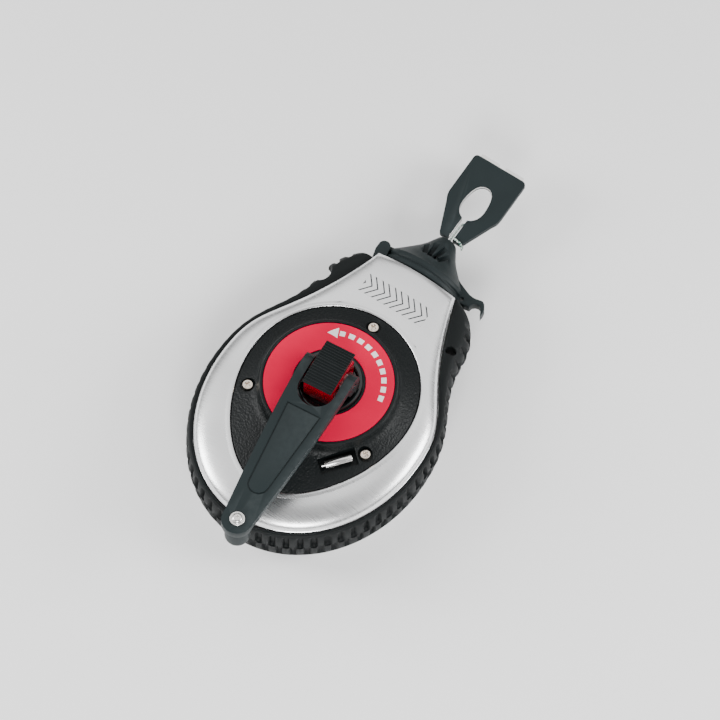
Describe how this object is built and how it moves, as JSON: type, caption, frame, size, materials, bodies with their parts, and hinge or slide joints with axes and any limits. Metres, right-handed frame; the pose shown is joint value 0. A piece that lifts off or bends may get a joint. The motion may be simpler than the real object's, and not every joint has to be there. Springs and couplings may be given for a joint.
{
  "type": "chalk line reel",
  "caption": "Oval chalk line reel with an aluminium case, rubber guard, geared fold-out crank with knob, hinged filling lid with nozzle, and a flat end hook.",
  "frame": {"origin": "on the crank's axis, at the flat back face that the reel lies on", "axes": "+Z out of the front along the crank's axis, +Y towards the nozzle and the end hook, +X to the right seen from the front"},
  "size_m": [0.1302, 0.2742, 0.0706],
  "materials": {
    "aluminium": "brushed satin",
    "rubber": "matt",
    "case_plastic": "fine texture",
    "textured_cover": "leather grain",
    "hook_cover": "smooth satin",
    "red_print": "satin print",
    "red_plastic": "polished",
    "steel": "plated",
    "nylon": "moulded",
    "line": "braided",
    "felt": "felt"
  },
  "bodies": {
    "case": {"front_shell": "aluminium", "back_shell": "aluminium", "front_bumper": "rubber", "back_bumper": "rubber", "front_case": "case_plastic", "back_case": "textured_cover", "cover_plate": "textured_cover", "lock_bar": "steel", "label_ring": "red_print", "cover_screw_1": "steel", "cover_screw_2": "steel", "cover_screw_3": "steel", "case_screw_1": "steel", "case_screw_2": "steel", "case_screw_3": "steel", "case_screw_4": "steel", "ring_gear": "nylon", "axle": "steel", "line_run": "line", "lid_hinge_pin": "steel"},
    "spool": {"spool": "case_plastic", "sun_gear": "nylon", "line_winding": "line"},
    "crank": {"crank_hub": "case_plastic", "hub_block": "red_plastic", "fold_hinge_pin": "steel", "planet_pin_1": "steel", "planet_pin_2": "steel", "planet_pin_3": "steel"},
    "planet_1": {"planet_gear_1": "nylon"},
    "planet_2": {"planet_gear_2": "nylon"},
    "planet_3": {"planet_gear_3": "nylon"},
    "handle": {"crank_arm": "case_plastic", "knob_screw": "steel"},
    "knob": {"knob": "case_plastic"},
    "lock": {"lock_slider": "case_plastic"},
    "lid": {"fill_lid": "case_plastic", "neck_seal": "rubber", "felt_wiper": "felt", "nozzle_eyelet": "steel"},
    "line_end": {"line_lead": "line"},
    "hook": {"hook_core": "steel", "hook_jacket": "hook_cover", "free_line": "line"}
  },
  "joints": [
    {"name": "crank_spin", "type": "hinge", "parent": "case", "child": "crank", "pos_m": [0, 0, 0.049], "axis": [0, 0, 1], "continuous": true},
    {"name": "spool_spin", "type": "hinge", "parent": "case", "child": "spool", "pos_m": [0, 0, 0.02], "axis": [0, 0, 1], "continuous": true},
    {"name": "planet_1_spin", "type": "hinge", "parent": "crank", "child": "planet_1", "pos_m": [-0.00115, 0.01496, 0.042], "axis": [0, 0, 1], "continuous": true},
    {"name": "planet_2_spin", "type": "hinge", "parent": "crank", "child": "planet_2", "pos_m": [-0.01238, -0.00847, 0.042], "axis": [0, 0, 1], "continuous": true},
    {"name": "planet_3_spin", "type": "hinge", "parent": "crank", "child": "planet_3", "pos_m": [0.01353, -0.00648, 0.042], "axis": [0, 0, 1], "continuous": true},
    {"name": "handle_fold", "type": "hinge", "parent": "crank", "child": "handle", "pos_m": [0, 0, 0.0605], "axis": [-0.9971, -0.0767, 0], "range_deg": [0, 180]},
    {"name": "knob_spin", "type": "hinge", "parent": "handle", "child": "knob", "pos_m": [0.00762, -0.09901, 0.054], "axis": [0, 0, 1], "continuous": true},
    {"name": "lock_slide", "type": "slide", "parent": "crank", "child": "lock", "axis": [-0.0767, 0.9971, 0], "range_m": [-0.003, 0.003]},
    {"name": "lid_swing", "type": "hinge", "parent": "case", "child": "lid", "pos_m": [-0.0245, 0.0903, 0.0215], "axis": [0, 0, 1], "range_deg": [0, 110]},
    {"name": "line_pull", "type": "slide", "parent": "lid", "child": "line_end", "axis": [0, 1, 0], "range_m": [0, 0.04]},
    {"name": "hook_swing", "type": "hinge", "parent": "line_end", "child": "hook", "pos_m": [0, 0.1146, 0.0215], "axis": [1, 0, 0], "range_deg": [-20, 20]}
  ],
  "couplings": [
    {"joint": "spool_spin", "follows": "crank_spin", "ratio": 5},
    {"joint": "planet_1_spin", "follows": "crank_spin", "ratio": -2.6667},
    {"joint": "planet_2_spin", "follows": "crank_spin", "ratio": -2.6667},
    {"joint": "planet_3_spin", "follows": "crank_spin", "ratio": -2.6667}
  ]
}
